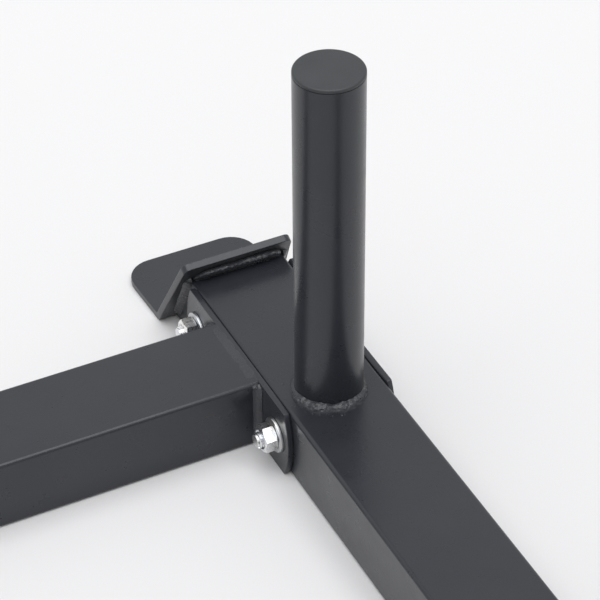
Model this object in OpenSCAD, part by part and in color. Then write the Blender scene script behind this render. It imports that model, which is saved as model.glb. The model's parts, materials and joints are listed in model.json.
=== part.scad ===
// Squat rack with bolted crossmembers, vertical plate storage posts, bar cups and safety arms.
// The origin is the middle of the footprint on the floor: X across, Y from front to rear, Z up.
// Pieces of the right side are modelled, and the left side mirrors them.

/* [Rack] */
// Distance between the centre lines of the two foot tubes
foot_span = 1120; // [960:10:1300]
// Length of the base over the pads of its foot plates
base_len = 1400; // [1250:10:1600]
// Height of the rack over the caps of its uprights
rack_h = 1850; // [1760:10:2200]
// How far the uprights stand in front of the middle of the base
upright_fwd = 134; // [90:2:180]

/* [Frame tube] */
// Width of the frame tube
tube_w = 77; // [65:1:90]
// Height of the frame tube as it lies on the floor
tube_h = 57; // [48:1:66]
// Wall of the frame tube
tube_wall = 3; // [2:0.5:4]
// Outer corner radius of the frame tube
tube_r = 3; // [2:0.5:5]

/* [Foot plates] */
// Thickness of the bent foot plates
foot_t = 6; // [4:0.5:7]
// Lean of the welded face from the vertical
foot_lean = 28; // [18:1:34]
// Height of the welded face above the tube
foot_rise = 16.5; // [8:0.5:20]
// How far the welded face stands out beside the tube at its top edge
foot_top_side = 6; // [6:0.5:12]
// How far the bend stands out beside the tube
foot_bend_side = 13; // [10:0.5:16]
// How far the floor pad stands out beside the tube at its end
foot_pad_side = 15; // [12:0.5:22]
// Length of the floor pad from the sharp corner of the bend
foot_pad = 67.5; // [50:0.5:90]
// Offset of the foot plates towards the middle of the rack
foot_offset = 1.5; // [0:0.5:1.5]
// Radius of the pad's corners
foot_pad_r = 21.5; // [10:0.5:35]
// Radius of the top corners
foot_top_r = 6; // [3:1:10]
// Inner radius of the bend
foot_bend_r = 3; // [2:0.5:5]

/* [Storage posts] */
// Outer diameter of the storage post
post_d = 50; // [40:0.5:50]
// Wall of the storage post
post_wall = 3; // [2:0.5:4]
// Height of the post above its tube, with the cap
post_h = 273; // [150:1:400]
// Distance of the post's centre from the rear end of the base
post_inset = 253.5; // [235:0.5:300]
// Thickness of the post cap's disc
post_cap_t = 3; // [2:0.5:5]
// Rounding of the post cap's top edge
post_cap_r = 1.5; // [0.5:0.5:2]
// Depth of the cap's plug in the post
post_plug = 14; // [8:1:25]
// Height of the weld ring around the post's foot
ring_h = 3.5; // [2.5:0.5:6]
// Wall of the plugs of the post caps and upright caps
plug_wall = 2.5; // [1.5:0.5:4]

/* [Bolted joints] */
// Thickness of the welded flanges, backing plates and gussets
plate_t = 5; // [4:0.5:8]
// Length of the flange over its corners
flange_len = 160; // [154:1:190]
// Bulge of the rounded flange ends
flange_bulge = 7; // [4:0.5:12]
// Distance between the two bolts of a flange
flange_pitch = 134; // [126:1:140]
// Distance of the base crossmember's centre from the rear end
cross_inset = 190; // [180:0.5:205]
// Offset of the base flanges and their bolts from the crossmember's centre towards the rear
flange_offset = 2; // [0:0.5:3]
// Drop of the top crossmember's centre below the top of the rack
cross_drop = 115; // [105:1:140]
// Leg of the fillet welds at the flanges and around the storage posts
weld_leg = 5; // [3:0.5:7]
// Leg of the fillet welds at the foot plates
foot_weld = 4; // [2.5:0.5:4.5]
// Depth to which a weld melts into its plate or tube
weld_root = 1; // [0.5:0.5:2]

/* [Bolts] */
// Diameter of the frame bolts
bolt_d = 12; // [10:1:12]
// Play of a frame bolt in its holes, on the diameter
bolt_play = 1; // [0.5:0.1:1.5]
// Width across the flats of the nuts
bolt_af = 19; // [17:1:22]
// Diameter of the round bolt heads
head_d = 28; // [25:1:30]
// Height of the round bolt heads
head_h = 6; // [5:0.5:7]
// Height of the nuts
nut_h = 10; // [8:0.5:12]
// Outer diameter of the washers
washer_d = 27; // [23:1:28]
// Thickness of the washers
washer_t = 2.5; // [1.5:0.5:3]
// Length of the bolt's tip beyond the nut
bolt_tip = 4; // [2:0.5:8]
// Chamfer at the bolt's tip
bolt_chamfer = 1; // [0.5:0.5:2]

/* [Uprights] */
// Diameter of the adjustment holes
hole_d = 21; // [17:0.5:24]
// Pitch of the adjustment holes
hole_pitch = 50; // [45:1:60]
// Height of the lowest adjustment hole
hole_first = 300; // [290:5:340]
// Distance kept free of holes below the top crossmember's flange
hole_clear = 30; // [20:5:60]
// Thickness of the upright cap's lid
lid_t = 3.5; // [2:0.5:6]
// Depth of the upright cap's plug
lid_plug = 22; // [12:1:30]
// Step around the lid's top edge
lid_step = 1; // [0.5:0.5:1.5]

/* [Gussets] */
// Height of the gussets above the foot tube
gusset_rise = 175; // [150:5:200]
// Length of the gussets along the foot tube
gusset_len = 220; // [200:5:260]
// Height of the gussets' lower edge above the floor
gusset_foot = 5; // [3:1:10]
// Distance between the two bolts in the foot tube
gusset_pitch = 160; // [150:2:180]
// Height of the lower of the two upright bolts above the foot tube
gusset_bolt_low = 45; // [40:1:60]
// Height of the upper of the two upright bolts above the foot tube
gusset_bolt_high = 140; // [115:1:150]
// Radius of the gussets' outer corners
gusset_r = 10; // [6:1:14]
// Height of the gussets' parallel sides at the top
gusset_neck = 30; // [20:1:40]

/* [Bar cups] */
// Number of the hole, from the lowest, that the bar cups hang in
cup_hole_number = 22; // [19:1:22]
// Thickness of the cup bracket and its hook plates
cup_t = 5; // [4:0.5:6]
// Width of the bar cradle between its liner walls
cradle_w = 50; // [40:1:70]
// Height of the lip above the cradle's seat
cradle_d = 32; // [24:1:45]
// Thickness of the plastic liner block between the hook plates
liner_w = 36; // [30:1:42]
// How far the liner stands proud of the steel in the cradle
liner_proud = 5; // [3:0.5:7]
// Height of the cup's bracket above its pin
cup_rise = 56; // [48:1:70]
// Depth of the cup's bracket below its pin
cup_drop = 72; // [64:1:90]
// Depth of the bracket's cheeks along the sides of the upright
cup_wrap = 32; // [24:1:40]
// Thickness of the hook behind the cradle
cup_back = 22; // [20:1:28]
// Thickness of the hook's lip in front of the cradle
cup_lip = 18; // [14:1:24]
// Radius of the cradle's corners
cradle_r = 12; // [8:1:14]
// Depth of the hook's nose below the cradle's seat
cup_nose = 28; // [26:1:36]
// Length of the hook's lower end, measured forward from its bracket
cup_toe = 12; // [10:1:18]
// Diameter of the screws through the hook
cup_screw_d = 8; // [6:1:8]
// Diameter of those screws' heads
cup_screw_head = 14; // [11:0.5:15]
// Distance from the middle of such a screw to the hook's edges
cup_screw_edge = 9; // [8:0.5:10]
// Length of the slanted lower edges of the bracket's cheeks
cheek_low = 45; // [30:1:50]
// Length of the slanted upper edges of the bracket's cheeks
cheek_high = 25; // [15:1:35]
// Diameter of the pins of cups and safety arms
pin_d = 20; // [15:0.5:20]
// Chamfer at the tips of those pins
pin_chamfer = 2; // [1:0.5:4]
// How far the cup's pin stands out behind the upright
cup_pin_out = 8; // [4:1:14]

/* [Safety arms] */
// Number of the hole, from the lowest, that the safety arms hang in
arm_hole_number = 10; // [9:1:12]
// Length of the arm's tube
arm_len = 450; // [300:10:450]
// Width of the arm's tube
arm_w = 50; // [40:1:60]
// Height of the arm's tube
arm_h = 60; // [50:1:65]
// Thickness of the arm's bracket and end plate
arm_t = 6; // [5:0.5:8]
// Height of the end plate above the arm's liner
arm_lip = 40; // [20:1:45]
// Thickness of the arm's plastic liner
arm_liner_t = 12; // [8:1:14]
// Chamfer along the liner's top edges
arm_liner_edge = 3; // [1:0.5:4]
// Number of screws that hold the liner
arm_screws = 3; // [2:1:5]
// Diameter of the liner's screws
arm_screw_d = 5; // [4:1:6]
// Diameter of their heads
arm_screw_head = 11; // [9:0.5:12]
// Depth of the heads' seats below the top of the liner
arm_screw_sink = 6; // [5:0.5:7]
// Distance from the end screws to the ends of the tube
arm_screw_end = 40; // [25:1:60]
// Drop of the arm's tube below its pin
arm_drop = 45; // [45:1:50]
// Radius of the bracket around the pin
arm_boss = 26; // [22:1:30]
// Height of the web under the arm's tube
arm_web = 45; // [30:1:60]
// Length of the web under the arm's tube
arm_web_len = 120; // [80:5:200]
// Height of the web at its tip
arm_web_tip = 8; // [5:1:12]
// Drop of the bracket's front plate below the pin's level, beyond half the upright's depth
arm_swing = 4; // [4:0.5:8]
// Thickness of the pull pin's collar
pin_collar = 5; // [3:0.5:8]
// Length of the pull pin's tip beyond the inner cheek
pin_tip = 14; // [6:1:20]
// Length of the pull pin's neck between collar and knob
pin_neck = 4; // [2:0.5:10]
// Diameter of the pull pin's knob
knob_d = 30; // [26:1:40]
// Length of the pull pin's knob
knob_l = 22; // [18:1:35]
// Taper of the knob towards the pin, on the radius
knob_taper = 6; // [3:0.5:8]
// Diameter of the pull pin's collar
collar_d = 30; // [28:1:36]
// Diameter of the pull pin's neck
neck_d = 12; // [8:1:16]

/* [Clearances] */
// Gap between a hung bracket and the upright's front face
face_gap = 0.3; // [0.2:0.1:0.6]
// Gap between a hung bracket and each side of the upright
side_gap = 0.8; // [0.5:0.1:1.5]
// Gap between a plug and the tube that it closes
plug_gap = 0.2; // [0.1:0.1:0.4]

/* [Hidden] */

$fn = 64;
PAINT = "#2e2f31";
ZINC = "#c8cbcf";
PLASTIC = "#1b1b1c";
LINER = "#3b3c3e";
arc_steps = 8;
past = 1;

foot_x = foot_span / 2;
upright_y = -upright_fwd;
post_y = base_len / 2 - post_inset;
cross_y = base_len / 2 - cross_inset;
cross_z = rack_h - cross_drop;
cross_len = foot_span - tube_w - 2 * plate_t;
bend_y = base_len / 2 - foot_pad;
hole_count = floor((cross_z - flange_len / 2 - flange_bulge - hole_clear - hole_first) / hole_pitch) + 1;
cup_z = hole_first + cup_hole_number * hole_pitch;
arm_z = hole_first + arm_hole_number * hole_pitch;
cup_front = -(tube_h / 2 + face_gap + cup_t);
cup_pin_len = tube_h + face_gap + cup_pin_out;
cradle_y = cup_front - cup_back - cradle_w / 2;
cup_screw_spots = [[cup_front - cup_screw_edge, cradle_d / 2],
                   [cup_front - cup_back, cup_screw_edge - cup_nose - liner_proud],
                   [cradle_y - cradle_w / 2, cup_screw_edge - cup_nose]];
arm_front = -(tube_h / 2 + face_gap + arm_t);
arm_top = -arm_drop;
pin_seat = tube_w / 2 + side_gap + arm_t;
bolt_hole = bolt_d + bolt_play;
bolt_grip = tube_w + 2 * plate_t;
bolt_len = bolt_grip + washer_t + nut_h + bolt_tip;
bolt_neck = plate_t - bolt_play / 2;
head_r = 0.75 * head_d;
plug_r = 1;
edge_r = 5;
socket_ratio = 0.42;

// Places of the bolts in the planes of the right foot tube and upright, as [y, z]
base_spots = [for (s = [-1, 1]) [cross_y + flange_offset + s * flange_pitch / 2, tube_h / 2]];
top_spots = [for (s = [-1, 1]) [upright_y, cross_z + s * flange_pitch / 2]];
foot_spots = [for (s = [-1, 1]) [upright_y + s * gusset_pitch / 2, tube_h / 2]];
leg_spots = [for (h = [gusset_bolt_low, gusset_bolt_high]) [upright_y, tube_h + h]];
gusset_spots = concat(foot_spots, leg_spots);

function unit(v) = v / norm(v);

// Points of the arc that rounds corner b of the path a, b, c
function corner_arc(a, b, c, r) =
    let (
        u = unit(a - b),
        v = unit(c - b),
        half = acos(u * v) / 2,
        mid = b + unit(u + v) * r / sin(half),
        p = b + u * r / tan(half) - mid,
        q = b + v * r / tan(half) - mid,
        start = atan2(p.y, p.x),
        sweep = atan2(p.x * q.y - p.y * q.x, p * q)
    )
    [for (i = [0:arc_steps]) let (w = start + sweep * i / arc_steps) mid + r * [cos(w), sin(w)]];

// Outline from rows [x, y, radius of that corner]
function rounded(rows) =
    let (
        n = len(rows),
        at = function(i) [rows[(i + n) % n].x, rows[(i + n) % n].y]
    )
    [for (i = [0:n - 1])
        each rows[i].z > 0 ? corner_arc(at(i - 1), at(i), at(i + 1), rows[i].z) : [at(i)]];

module rounded_rect(w, h, r) {
    square([w, h - 2 * r], center = true);
    square([w - 2 * r, h], center = true);
    for (x = [-1, 1], y = [-1, 1])
        translate([x * (w / 2 - r), y * (h / 2 - r)]) circle(r);
}

module tube_section(w, h, wall, r) {
    difference() {
        rounded_rect(w, h, r);
        rounded_rect(w - 2 * wall, h - 2 * wall, plug_r);
    }
}

// Extrudes a [y, z] outline along X, centred
module across(t) {
    rotate([90, 0, 90]) linear_extrude(t, center = true) children();
}

// Extrudes an [x, z] section along Y from y = 0 towards the rear
module along(l) {
    translate([0, l, 0]) rotate([90, 0, 0]) linear_extrude(l) children();
}

module rod_x(d, l) {
    rotate([0, 90, 0]) cylinder(d = d, h = l, center = true);
}

module left() {
    mirror([1, 0, 0]) children();
}

module at_foot() {
    translate([foot_x, 0, 0]) children();
}

module at_upright(z = 0) {
    translate([foot_x, upright_y, z]) children();
}

module bolt_holes(spots, l) {
    for (s = spots)
        translate([0, s.x, s.y]) rod_x(bolt_hole, l);
}

// Opening in a plate: square for a bolt's neck or round for its shank
module bolt_opening(squared) {
    if (squared) square(bolt_hole, center = true);
    else circle(d = bolt_hole);
}

// Foot tubes, mitred at both ends to the lean of the foot plates

module mitre_waste() {
    k = tan(foot_lean);
    across(tube_w + 2 * past)
        polygon([[bend_y + k * past, -past], [bend_y + foot_pad, -past],
                 [bend_y + foot_pad, tube_h + past], [bend_y - k * (tube_h + past), tube_h + past]]);
}

module foot_tube() {
    color(PAINT) at_foot() difference() {
        translate([0, -bend_y, tube_h / 2]) along(2 * bend_y) tube_section(tube_w, tube_h, tube_wall, tube_r);
        mitre_waste();
        mirror([0, 1, 0]) mitre_waste();
        bolt_holes(base_spots, tube_w + 2 * past);
        bolt_holes(foot_spots, tube_w + 2 * past);
    }
}

// Bent foot plate: a leaning welded face, a bend and a rounded pad on the floor

module foot_plate() {
    bend_outer = foot_bend_r + foot_t;
    straight = bend_outer + past;
    up = [-sin(foot_lean), cos(foot_lean)];
    out = [cos(foot_lean), sin(foot_lean)];
    rise = (tube_h + foot_rise) / cos(foot_lean);
    top = tube_w / 2 + foot_top_side;
    bend = tube_w / 2 + foot_bend_side;
    pad = tube_w / 2 + foot_pad_side;
    inner = [foot_t * tan((90 - foot_lean) / 2), foot_t];
    edge = rise * up + foot_t * out;
    color(PAINT) at_foot() translate([0, bend_y, 0]) {
        translate([-foot_offset, 0, 0]) intersection() {
            across(2 * pad)
                polygon(rounded([[0, 0, bend_outer], [foot_pad, 0, 0], [foot_pad, foot_t, 0],
                                 [inner.x, inner.y, foot_bend_r], [edge.x, edge.y, 0],
                                 [rise * up.x, rise * up.y, 0]]));
            union() {
                rotate([90 + foot_lean, 0, 0]) translate([0, 0, -foot_t - past])
                    linear_extrude(foot_t + 2 * past)
                        polygon(rounded([[-bend, -straight, 0], [bend, -straight, 0],
                                         [bend, straight, 0], [top, rise, foot_top_r],
                                         [-top, rise, foot_top_r], [-bend, straight, 0]]));
                translate([0, 0, -past]) linear_extrude(foot_t + 2 * past)
                    polygon(rounded([[-bend, -straight, 0], [bend, -straight, 0],
                                     [bend, straight, 0], [pad, foot_pad, foot_pad_r],
                                     [-pad, foot_pad, foot_pad_r], [-bend, straight, 0]]));
            }
        }
        for (s = [-1, 1])
            rotate([90 + foot_lean, 0, 0]) translate([s * tube_w / 2, bend_outer, 0])
                rotate([-90, 0, 0]) linear_extrude(tube_h / cos(foot_lean) - bend_outer - foot_weld)
                    polygon([[0, weld_root], [s * foot_weld, weld_root], [s * foot_weld, 0],
                             [0, -foot_weld]]);
        translate([0, -tube_h * tan(foot_lean), tube_h]) across(tube_w - 2 * tube_r)
            polygon([[0, 0], [-foot_weld, 0], foot_weld * up, foot_weld * up + weld_root * out,
                     weld_root * out]);
    }
}

// Storage post with its weld ring, and the cap pressed into it

module storage_post() {
    l = post_h - post_cap_t;
    color(PAINT) at_foot() translate([0, post_y, tube_h]) rotate_extrude()
        difference() {
            polygon([[0, 0], [post_d / 2 + weld_leg, 0], [post_d / 2, ring_h],
                     [post_d / 2, l], [0, l]]);
            translate([0, -past]) square([post_d / 2 - post_wall, l + 2 * past]);
        }
}

module post_cap() {
    r = post_d / 2;
    plug = r - post_wall - plug_gap;
    color(PLASTIC) at_foot() translate([0, post_y, tube_h + post_h - post_cap_t]) {
        rotate_extrude() {
            square([r - post_cap_r, post_cap_t]);
            square([r, post_cap_t - post_cap_r]);
            translate([r - post_cap_r, post_cap_t - post_cap_r]) circle(post_cap_r);
        }
        translate([0, 0, -post_plug]) difference() {
            cylinder(r = plug, h = post_plug);
            translate([0, 0, -past]) cylinder(r = plug - plug_wall, h = post_plug);
        }
    }
}

// Crossmember lying along X, with the fillet welds at its two ends

module crossmember() {
    color(PAINT) {
        translate([-cross_len / 2, 0, 0]) rotate([90, 0, 90]) linear_extrude(cross_len)
            tube_section(tube_w, tube_h, tube_wall, tube_r);
        for (e = [-1, 1], s = [-1, 1])
            translate([e * cross_len / 2, s * tube_w / 2, 0])
                linear_extrude(tube_h - 2 * tube_r, center = true)
                    polygon([[0, -s * weld_root], [-e * weld_leg, -s * weld_root],
                             [-e * weld_leg, 0], [0, s * weld_leg]]);
    }
}

// Flange and backing plate share one outline, long along Y, with arched ends

module flange_outline(squared) {
    r = (pow(tube_h / 2, 2) + pow(flange_bulge, 2)) / (2 * flange_bulge);
    reach = flange_len / 2 + flange_bulge;
    difference() {
        intersection() {
            square([2 * reach, tube_h], center = true);
            union() {
                square([flange_len, tube_h], center = true);
                translate([reach - r, 0]) circle(r);
                translate([r - reach, 0]) circle(r);
            }
        }
        for (s = [-1, 1])
            translate([s * flange_pitch / 2, 0]) bolt_opening(squared);
    }
}

// A flange on the inner side or a backing plate on the outer side of the right tube
module flange(side) {
    color(PAINT) translate([foot_x + side * (tube_w + plate_t) / 2, 0, 0])
        across(plate_t) flange_outline(side > 0);
}

module at_base(offset = 0) {
    translate([0, cross_y + offset, tube_h / 2]) children();
}

module at_top() {
    translate([0, upright_y, cross_z]) rotate([90, 0, 0]) children();
}

// Uprights with adjustment holes through all four faces, and their caps

module upright() {
    color(PAINT) at_upright() difference() {
        translate([0, 0, tube_h]) linear_extrude(rack_h - lid_t - tube_h)
            tube_section(tube_w, tube_h, tube_wall, tube_r);
        for (i = [0:hole_count - 1])
            translate([0, 0, hole_first + i * hole_pitch]) {
                rotate([90, 0, 0]) cylinder(d = hole_d, h = tube_h + 2 * past, center = true);
                rod_x(hole_d, tube_w + 2 * past);
            }
        translate([0, -upright_y, 0]) {
            bolt_holes(top_spots, tube_w + 2 * past);
            bolt_holes(leg_spots, tube_w + 2 * past);
        }
    }
}

module upright_cap() {
    inner = [tube_w - 2 * tube_wall - 2 * plug_gap, tube_h - 2 * tube_wall - 2 * plug_gap];
    color(PLASTIC) at_upright(rack_h - lid_t) {
        linear_extrude(lid_t - lid_step) rounded_rect(tube_w, tube_h, tube_r);
        linear_extrude(lid_t) rounded_rect(tube_w - 2 * lid_step, tube_h - 2 * lid_step, tube_r);
        translate([0, 0, -lid_plug]) linear_extrude(lid_plug) difference() {
            rounded_rect(inner.x, inner.y, plug_r);
            rounded_rect(inner.x - 2 * plug_wall, inner.y - 2 * plug_wall, plug_r);
        }
    }
}

// Gusset plates that sandwich the foot tube and the upright

module gusset(side) {
    a = gusset_len / 2;
    top = tube_h + gusset_rise;
    b = tube_h / 2;
    shoulder = top - gusset_neck;
    color(PAINT) at_upright() translate([side * (tube_w + plate_t) / 2, 0, 0])
        across(plate_t) difference() {
            polygon(rounded([[-a, gusset_foot, gusset_r], [a, gusset_foot, gusset_r],
                             [a, tube_h, gusset_r], [b, shoulder, gusset_neck],
                             [b, top, gusset_r], [-b, top, gusset_r],
                             [-b, shoulder, gusset_neck], [-a, tube_h, gusset_r]]));
            for (s = gusset_spots)
                translate([s.x - upright_y, s.y]) bolt_opening(side > 0);
        }
}

// Carriage bolts: the round head is on the outer side, its square neck sits in the outer plate,
// and the nut is on the inner side

module round_head() {
    intersection() {
        translate([0, 0, head_h - head_r]) sphere(head_r);
        cylinder(d = head_d, h = head_h);
    }
}

module bolt() {
    rotate([0, 90, 0]) translate([0, 0, bolt_grip / 2]) {
        round_head();
        translate([0, 0, -bolt_neck]) linear_extrude(bolt_neck + past) square(bolt_d, center = true);
        translate([0, 0, -bolt_len]) {
            translate([0, 0, bolt_chamfer]) cylinder(d = bolt_d, h = bolt_len - bolt_chamfer + past);
            cylinder(d1 = bolt_d - 2 * bolt_chamfer, d2 = bolt_d, h = bolt_chamfer);
        }
    }
}

module nut() {
    corner = bolt_af / cos(30) / 2;
    cut = corner - bolt_af / 2;
    rotate([0, -90, 0]) translate([0, 0, bolt_grip / 2 + washer_t]) difference() {
        intersection() {
            cylinder(r = corner, h = nut_h, $fn = 6);
            rotate_extrude()
                polygon([[0, 0], [corner - cut, 0], [corner, cut / 2],
                         [corner, nut_h - cut / 2], [corner - cut, nut_h], [0, nut_h]]);
        }
        translate([0, 0, -past]) cylinder(d = bolt_d + plug_gap, h = nut_h + 2 * past);
    }
}

module washer() {
    translate([-(bolt_grip + washer_t) / 2, 0, 0]) difference() {
        rod_x(washer_d, washer_t);
        rod_x(bolt_hole, washer_t + 2 * past);
    }
}

// Repeats a piece at every spot of the right side and its mirror image on the left
module fasten(spots) {
    color(ZINC) for (m = [0, 1]) mirror([m, 0, 0])
        for (s = spots)
            translate([foot_x, s.x, s.y]) children();
}

// U bracket that hangs around the front of an upright, seen from above

module hanger_section(t, depth) {
    w = tube_w + 2 * (side_gap + t);
    front = tube_h / 2 + face_gap + t;
    difference() {
        union() {
            translate([-w / 2, -front + t]) square([w, depth + face_gap]);
            translate([-w / 2 + t, -front]) square([w - 2 * t, t]);
            for (s = [-1, 1])
                translate([s * (w / 2 - t), -front + t]) circle(t);
        }
        translate([-w / 2 + t, -front + t]) square([w - 2 * t, depth + face_gap + past]);
    }
}

// Head of a socket screw, tapering upwards from its seat at z = 0
module socket_head(d) {
    h = d / 3;
    difference() {
        cylinder(d1 = d, d2 = d - h, h = h);
        translate([0, 0, h / 3]) cylinder(d = d * socket_ratio, h = h, $fn = 6);
    }
}

// Bar cup: bracket with its pin, two hook plates, a liner block and three screws

module cup_bracket() {
    back = cup_wrap - tube_h / 2;
    step = cup_front + cup_t + edge_r;
    color(PAINT) at_upright(cup_z) {
        intersection() {
            translate([0, 0, -cup_drop]) linear_extrude(cup_drop + cup_rise)
                hanger_section(cup_t, cup_wrap);
            across(2 * tube_w) polygon(rounded([
                [cup_front - past, -cup_drop - past, 0], [step, -cup_drop - past, 0],
                [back, cheek_low - cup_drop, cradle_r], [back, cup_rise - cheek_high, cradle_r],
                [step, cup_rise + past, 0], [cup_front - past, cup_rise + past, 0]]));
        }
        translate([0, -tube_h / 2 - face_gap, 0]) rotate([-90, 0, 0]) {
            cylinder(d = pin_d, h = cup_pin_len - pin_chamfer);
            translate([0, 0, cup_pin_len - pin_chamfer])
                cylinder(d1 = pin_d, d2 = pin_d - 2 * pin_chamfer, h = pin_chamfer);
        }
    }
}

// Side outline of the hook: proud draws the cradle in, and inset draws the outer edges in
module hook_outline(proud, inset) {
    mid = cradle_y;
    half = cradle_w / 2 + liner_proud - proud;
    seat = proud - liner_proud;
    lip_z = cradle_d + seat / 2;
    nose = mid - cradle_w / 2 - cup_lip + inset;
    polygon(rounded([
        [cup_front, inset - cup_drop, 0], [cup_front, cup_rise - inset, 0],
        [cup_front - cup_back / 2, cup_rise - inset, edge_r], [mid + half, lip_z, cradle_r],
        [mid + half, seat, cradle_r], [mid - half, seat, cradle_r], [mid - half, lip_z, edge_r],
        [nose, lip_z, edge_r], [nose, -cup_nose, cradle_r],
        [cup_front - cup_toe, inset - cup_drop, edge_r]]));
}

module cup_hook_plates() {
    color(PAINT) at_upright(cup_z) for (s = [-1, 1])
        translate([s * (liner_w + cup_t) / 2, 0, 0]) across(cup_t) difference() {
            hook_outline(0, 0);
            for (p = cup_screw_spots) translate(p) circle(d = cup_screw_d + plug_gap);
        }
}

module cup_liner() {
    color(LINER) at_upright(cup_z) across(liner_w) difference() {
        hook_outline(liner_proud, 1);
        for (p = cup_screw_spots) translate(p) circle(d = cup_screw_d + plug_gap);
    }
}

module cup_screws() {
    w = liner_w + 2 * cup_t;
    color(ZINC) at_upright(cup_z) for (p = cup_screw_spots)
        translate([0, p.x, p.y]) {
            rod_x(cup_screw_d, w);
            for (s = [-1, 1])
                translate([s * w / 2, 0, 0]) rotate([0, s * 90, 0]) socket_head(cup_screw_head);
        }
}

// Safety arm: bracket, tube, end plate, liner and screws, all of which tilt about the pull pin

module arm_bracket() {
    tube_low = arm_top - arm_h;
    low = tube_low - arm_web;
    crest = -tube_h / 2 - arm_swing;
    inner_w = tube_w + 2 * side_gap;
    color(PAINT) at_upright(arm_z) {
        difference() {
            intersection() {
                translate([0, 0, low]) linear_extrude(arm_boss - low)
                    hanger_section(arm_t, tube_h / 2 + arm_boss);
                across(2 * tube_w) {
                    circle(arm_boss);
                    polygon([[arm_front - past, low - past], [0, low - past], [arm_boss, 0],
                             [-arm_boss, 0], [-arm_boss, crest], [arm_front - past, crest]]);
                }
            }
            translate([-inner_w / 2, arm_front - past, crest])
                cube([inner_w, arm_t + 2 * past, arm_boss + past - crest]);
            rod_x(hole_d, 2 * tube_w);
        }
        across(arm_t)
            polygon(rounded([[arm_front, low + arm_t, 0], [arm_front, tube_low, 0],
                             [arm_front - arm_web_len, tube_low, 0],
                             [arm_front - arm_web_len, tube_low - arm_web_tip, arm_web_tip / 2],
                             [arm_front - arm_web_tip, low + arm_t, arm_web_tip / 2]]));
    }
}

module arm_tube() {
    color(PAINT) at_upright(arm_z) translate([0, arm_front - arm_len, arm_top - arm_h / 2]) difference() {
        along(arm_len) tube_section(arm_w, arm_h, tube_wall, tube_r);
        for (y = arm_screw_places())
            translate([0, y - arm_front + arm_len, 0]) cylinder(d = arm_screw_d, h = arm_h);
    }
}

module arm_end_plate() {
    color(PAINT) at_upright(arm_z) translate([0, arm_front - arm_len - arm_t, 0]) along(arm_t)
        polygon(rounded([[-arm_w / 2, arm_top - arm_h, tube_r], [arm_w / 2, arm_top - arm_h, tube_r],
                         [arm_w / 2, arm_top + arm_liner_t + arm_lip, cradle_r],
                         [-arm_w / 2, arm_top + arm_liner_t + arm_lip, cradle_r]]));
}

// Places of the liner screws along Y, from the upright's centre
function arm_screw_places() =
    [for (i = [0:arm_screws - 1])
        arm_front - arm_screw_end - i * (arm_len - 2 * arm_screw_end) / (arm_screws - 1)];

module arm_liner() {
    half = arm_w / 2 - lid_step;
    e = arm_liner_edge;
    color(LINER) at_upright(arm_z) translate([0, 0, arm_top]) difference() {
        translate([0, arm_front - arm_len, 0]) along(arm_len - side_gap)
            polygon([[-half, 0], [half, 0], [half, arm_liner_t - e], [half - e, arm_liner_t],
                     [e - half, arm_liner_t], [-half, arm_liner_t - e]]);
        for (y = arm_screw_places()) translate([0, y, 0]) {
            translate([0, 0, -past]) cylinder(d = arm_screw_d + 2 * plug_gap, h = arm_liner_t + 2 * past);
            translate([0, 0, arm_liner_t - arm_screw_sink])
                cylinder(d = arm_screw_head + 2 * plug_gap, h = arm_screw_sink + past);
        }
    }
}

module arm_screws() {
    color(ZINC) at_upright(arm_z) for (y = arm_screw_places())
        translate([0, y, arm_top + arm_liner_t - arm_screw_sink]) {
            translate([0, 0, -arm_liner_t - tube_wall])
                cylinder(d = arm_screw_d, h = arm_liner_t + tube_wall);
            socket_head(arm_screw_head);
        }
}

// Pull pin that the arm hangs on, drawn out to the side, and its knob

module pull_pin() {
    l = 2 * pin_seat + pin_tip + face_gap;
    color(ZINC) at_upright(arm_z) rotate([0, 90, 0]) {
        translate([0, 0, -pin_seat - pin_tip]) {
            translate([0, 0, pin_chamfer]) cylinder(d = pin_d, h = l - pin_chamfer);
            cylinder(d1 = pin_d - 2 * pin_chamfer, d2 = pin_d, h = pin_chamfer);
        }
        translate([0, 0, pin_seat + face_gap]) {
            cylinder(d = collar_d, h = pin_collar);
            cylinder(d = neck_d, h = pin_collar + pin_neck);
        }
    }
}

module pin_knob() {
    r = knob_d / 2;
    base = pin_seat + face_gap + pin_collar + pin_neck;
    color(PLASTIC) at_upright(arm_z) translate([base, 0, 0]) rotate([0, 90, 0])
        rotate_extrude()
            polygon(rounded([[0, 0, 0], [r - knob_taper, 0, 0], [r, knob_l / 3, knob_taper],
                             [r, knob_l, edge_r], [0, knob_l, 0]]));
}

left() foot_tube();  // left_foot_tube
foot_tube();  // right_foot_tube
left() foot_plate();  // left_rear_foot_plate
foot_plate();  // right_rear_foot_plate
left() mirror([0, 1, 0]) foot_plate();  // left_front_foot_plate
mirror([0, 1, 0]) foot_plate();  // right_front_foot_plate
left() storage_post();  // left_storage_post
storage_post();  // right_storage_post
left() post_cap();  // left_post_cap
post_cap();  // right_post_cap
at_base() crossmember();  // base_crossmember
left() at_base(flange_offset) flange(-1);  // base_left_flange
at_base(flange_offset) flange(-1);  // base_right_flange
left() at_base(flange_offset) flange(1);  // base_left_backing_plate
at_base(flange_offset) flange(1);  // base_right_backing_plate
at_top() crossmember();  // top_crossmember
left() at_top() flange(-1);  // top_left_flange
at_top() flange(-1);  // top_right_flange
left() at_top() flange(1);  // top_left_backing_plate
at_top() flange(1);  // top_right_backing_plate
left() upright();  // left_upright
upright();  // right_upright
left() upright_cap();  // left_upright_cap
upright_cap();  // right_upright_cap
left() gusset(-1);  // left_inner_gusset
left() gusset(1);  // left_outer_gusset
gusset(-1);  // right_inner_gusset
gusset(1);  // right_outer_gusset
fasten(base_spots) bolt();  // base_bolts
fasten(base_spots) nut();  // base_nuts
fasten(base_spots) washer();  // base_washers
fasten(top_spots) bolt();  // top_bolts
fasten(top_spots) nut();  // top_nuts
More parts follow.
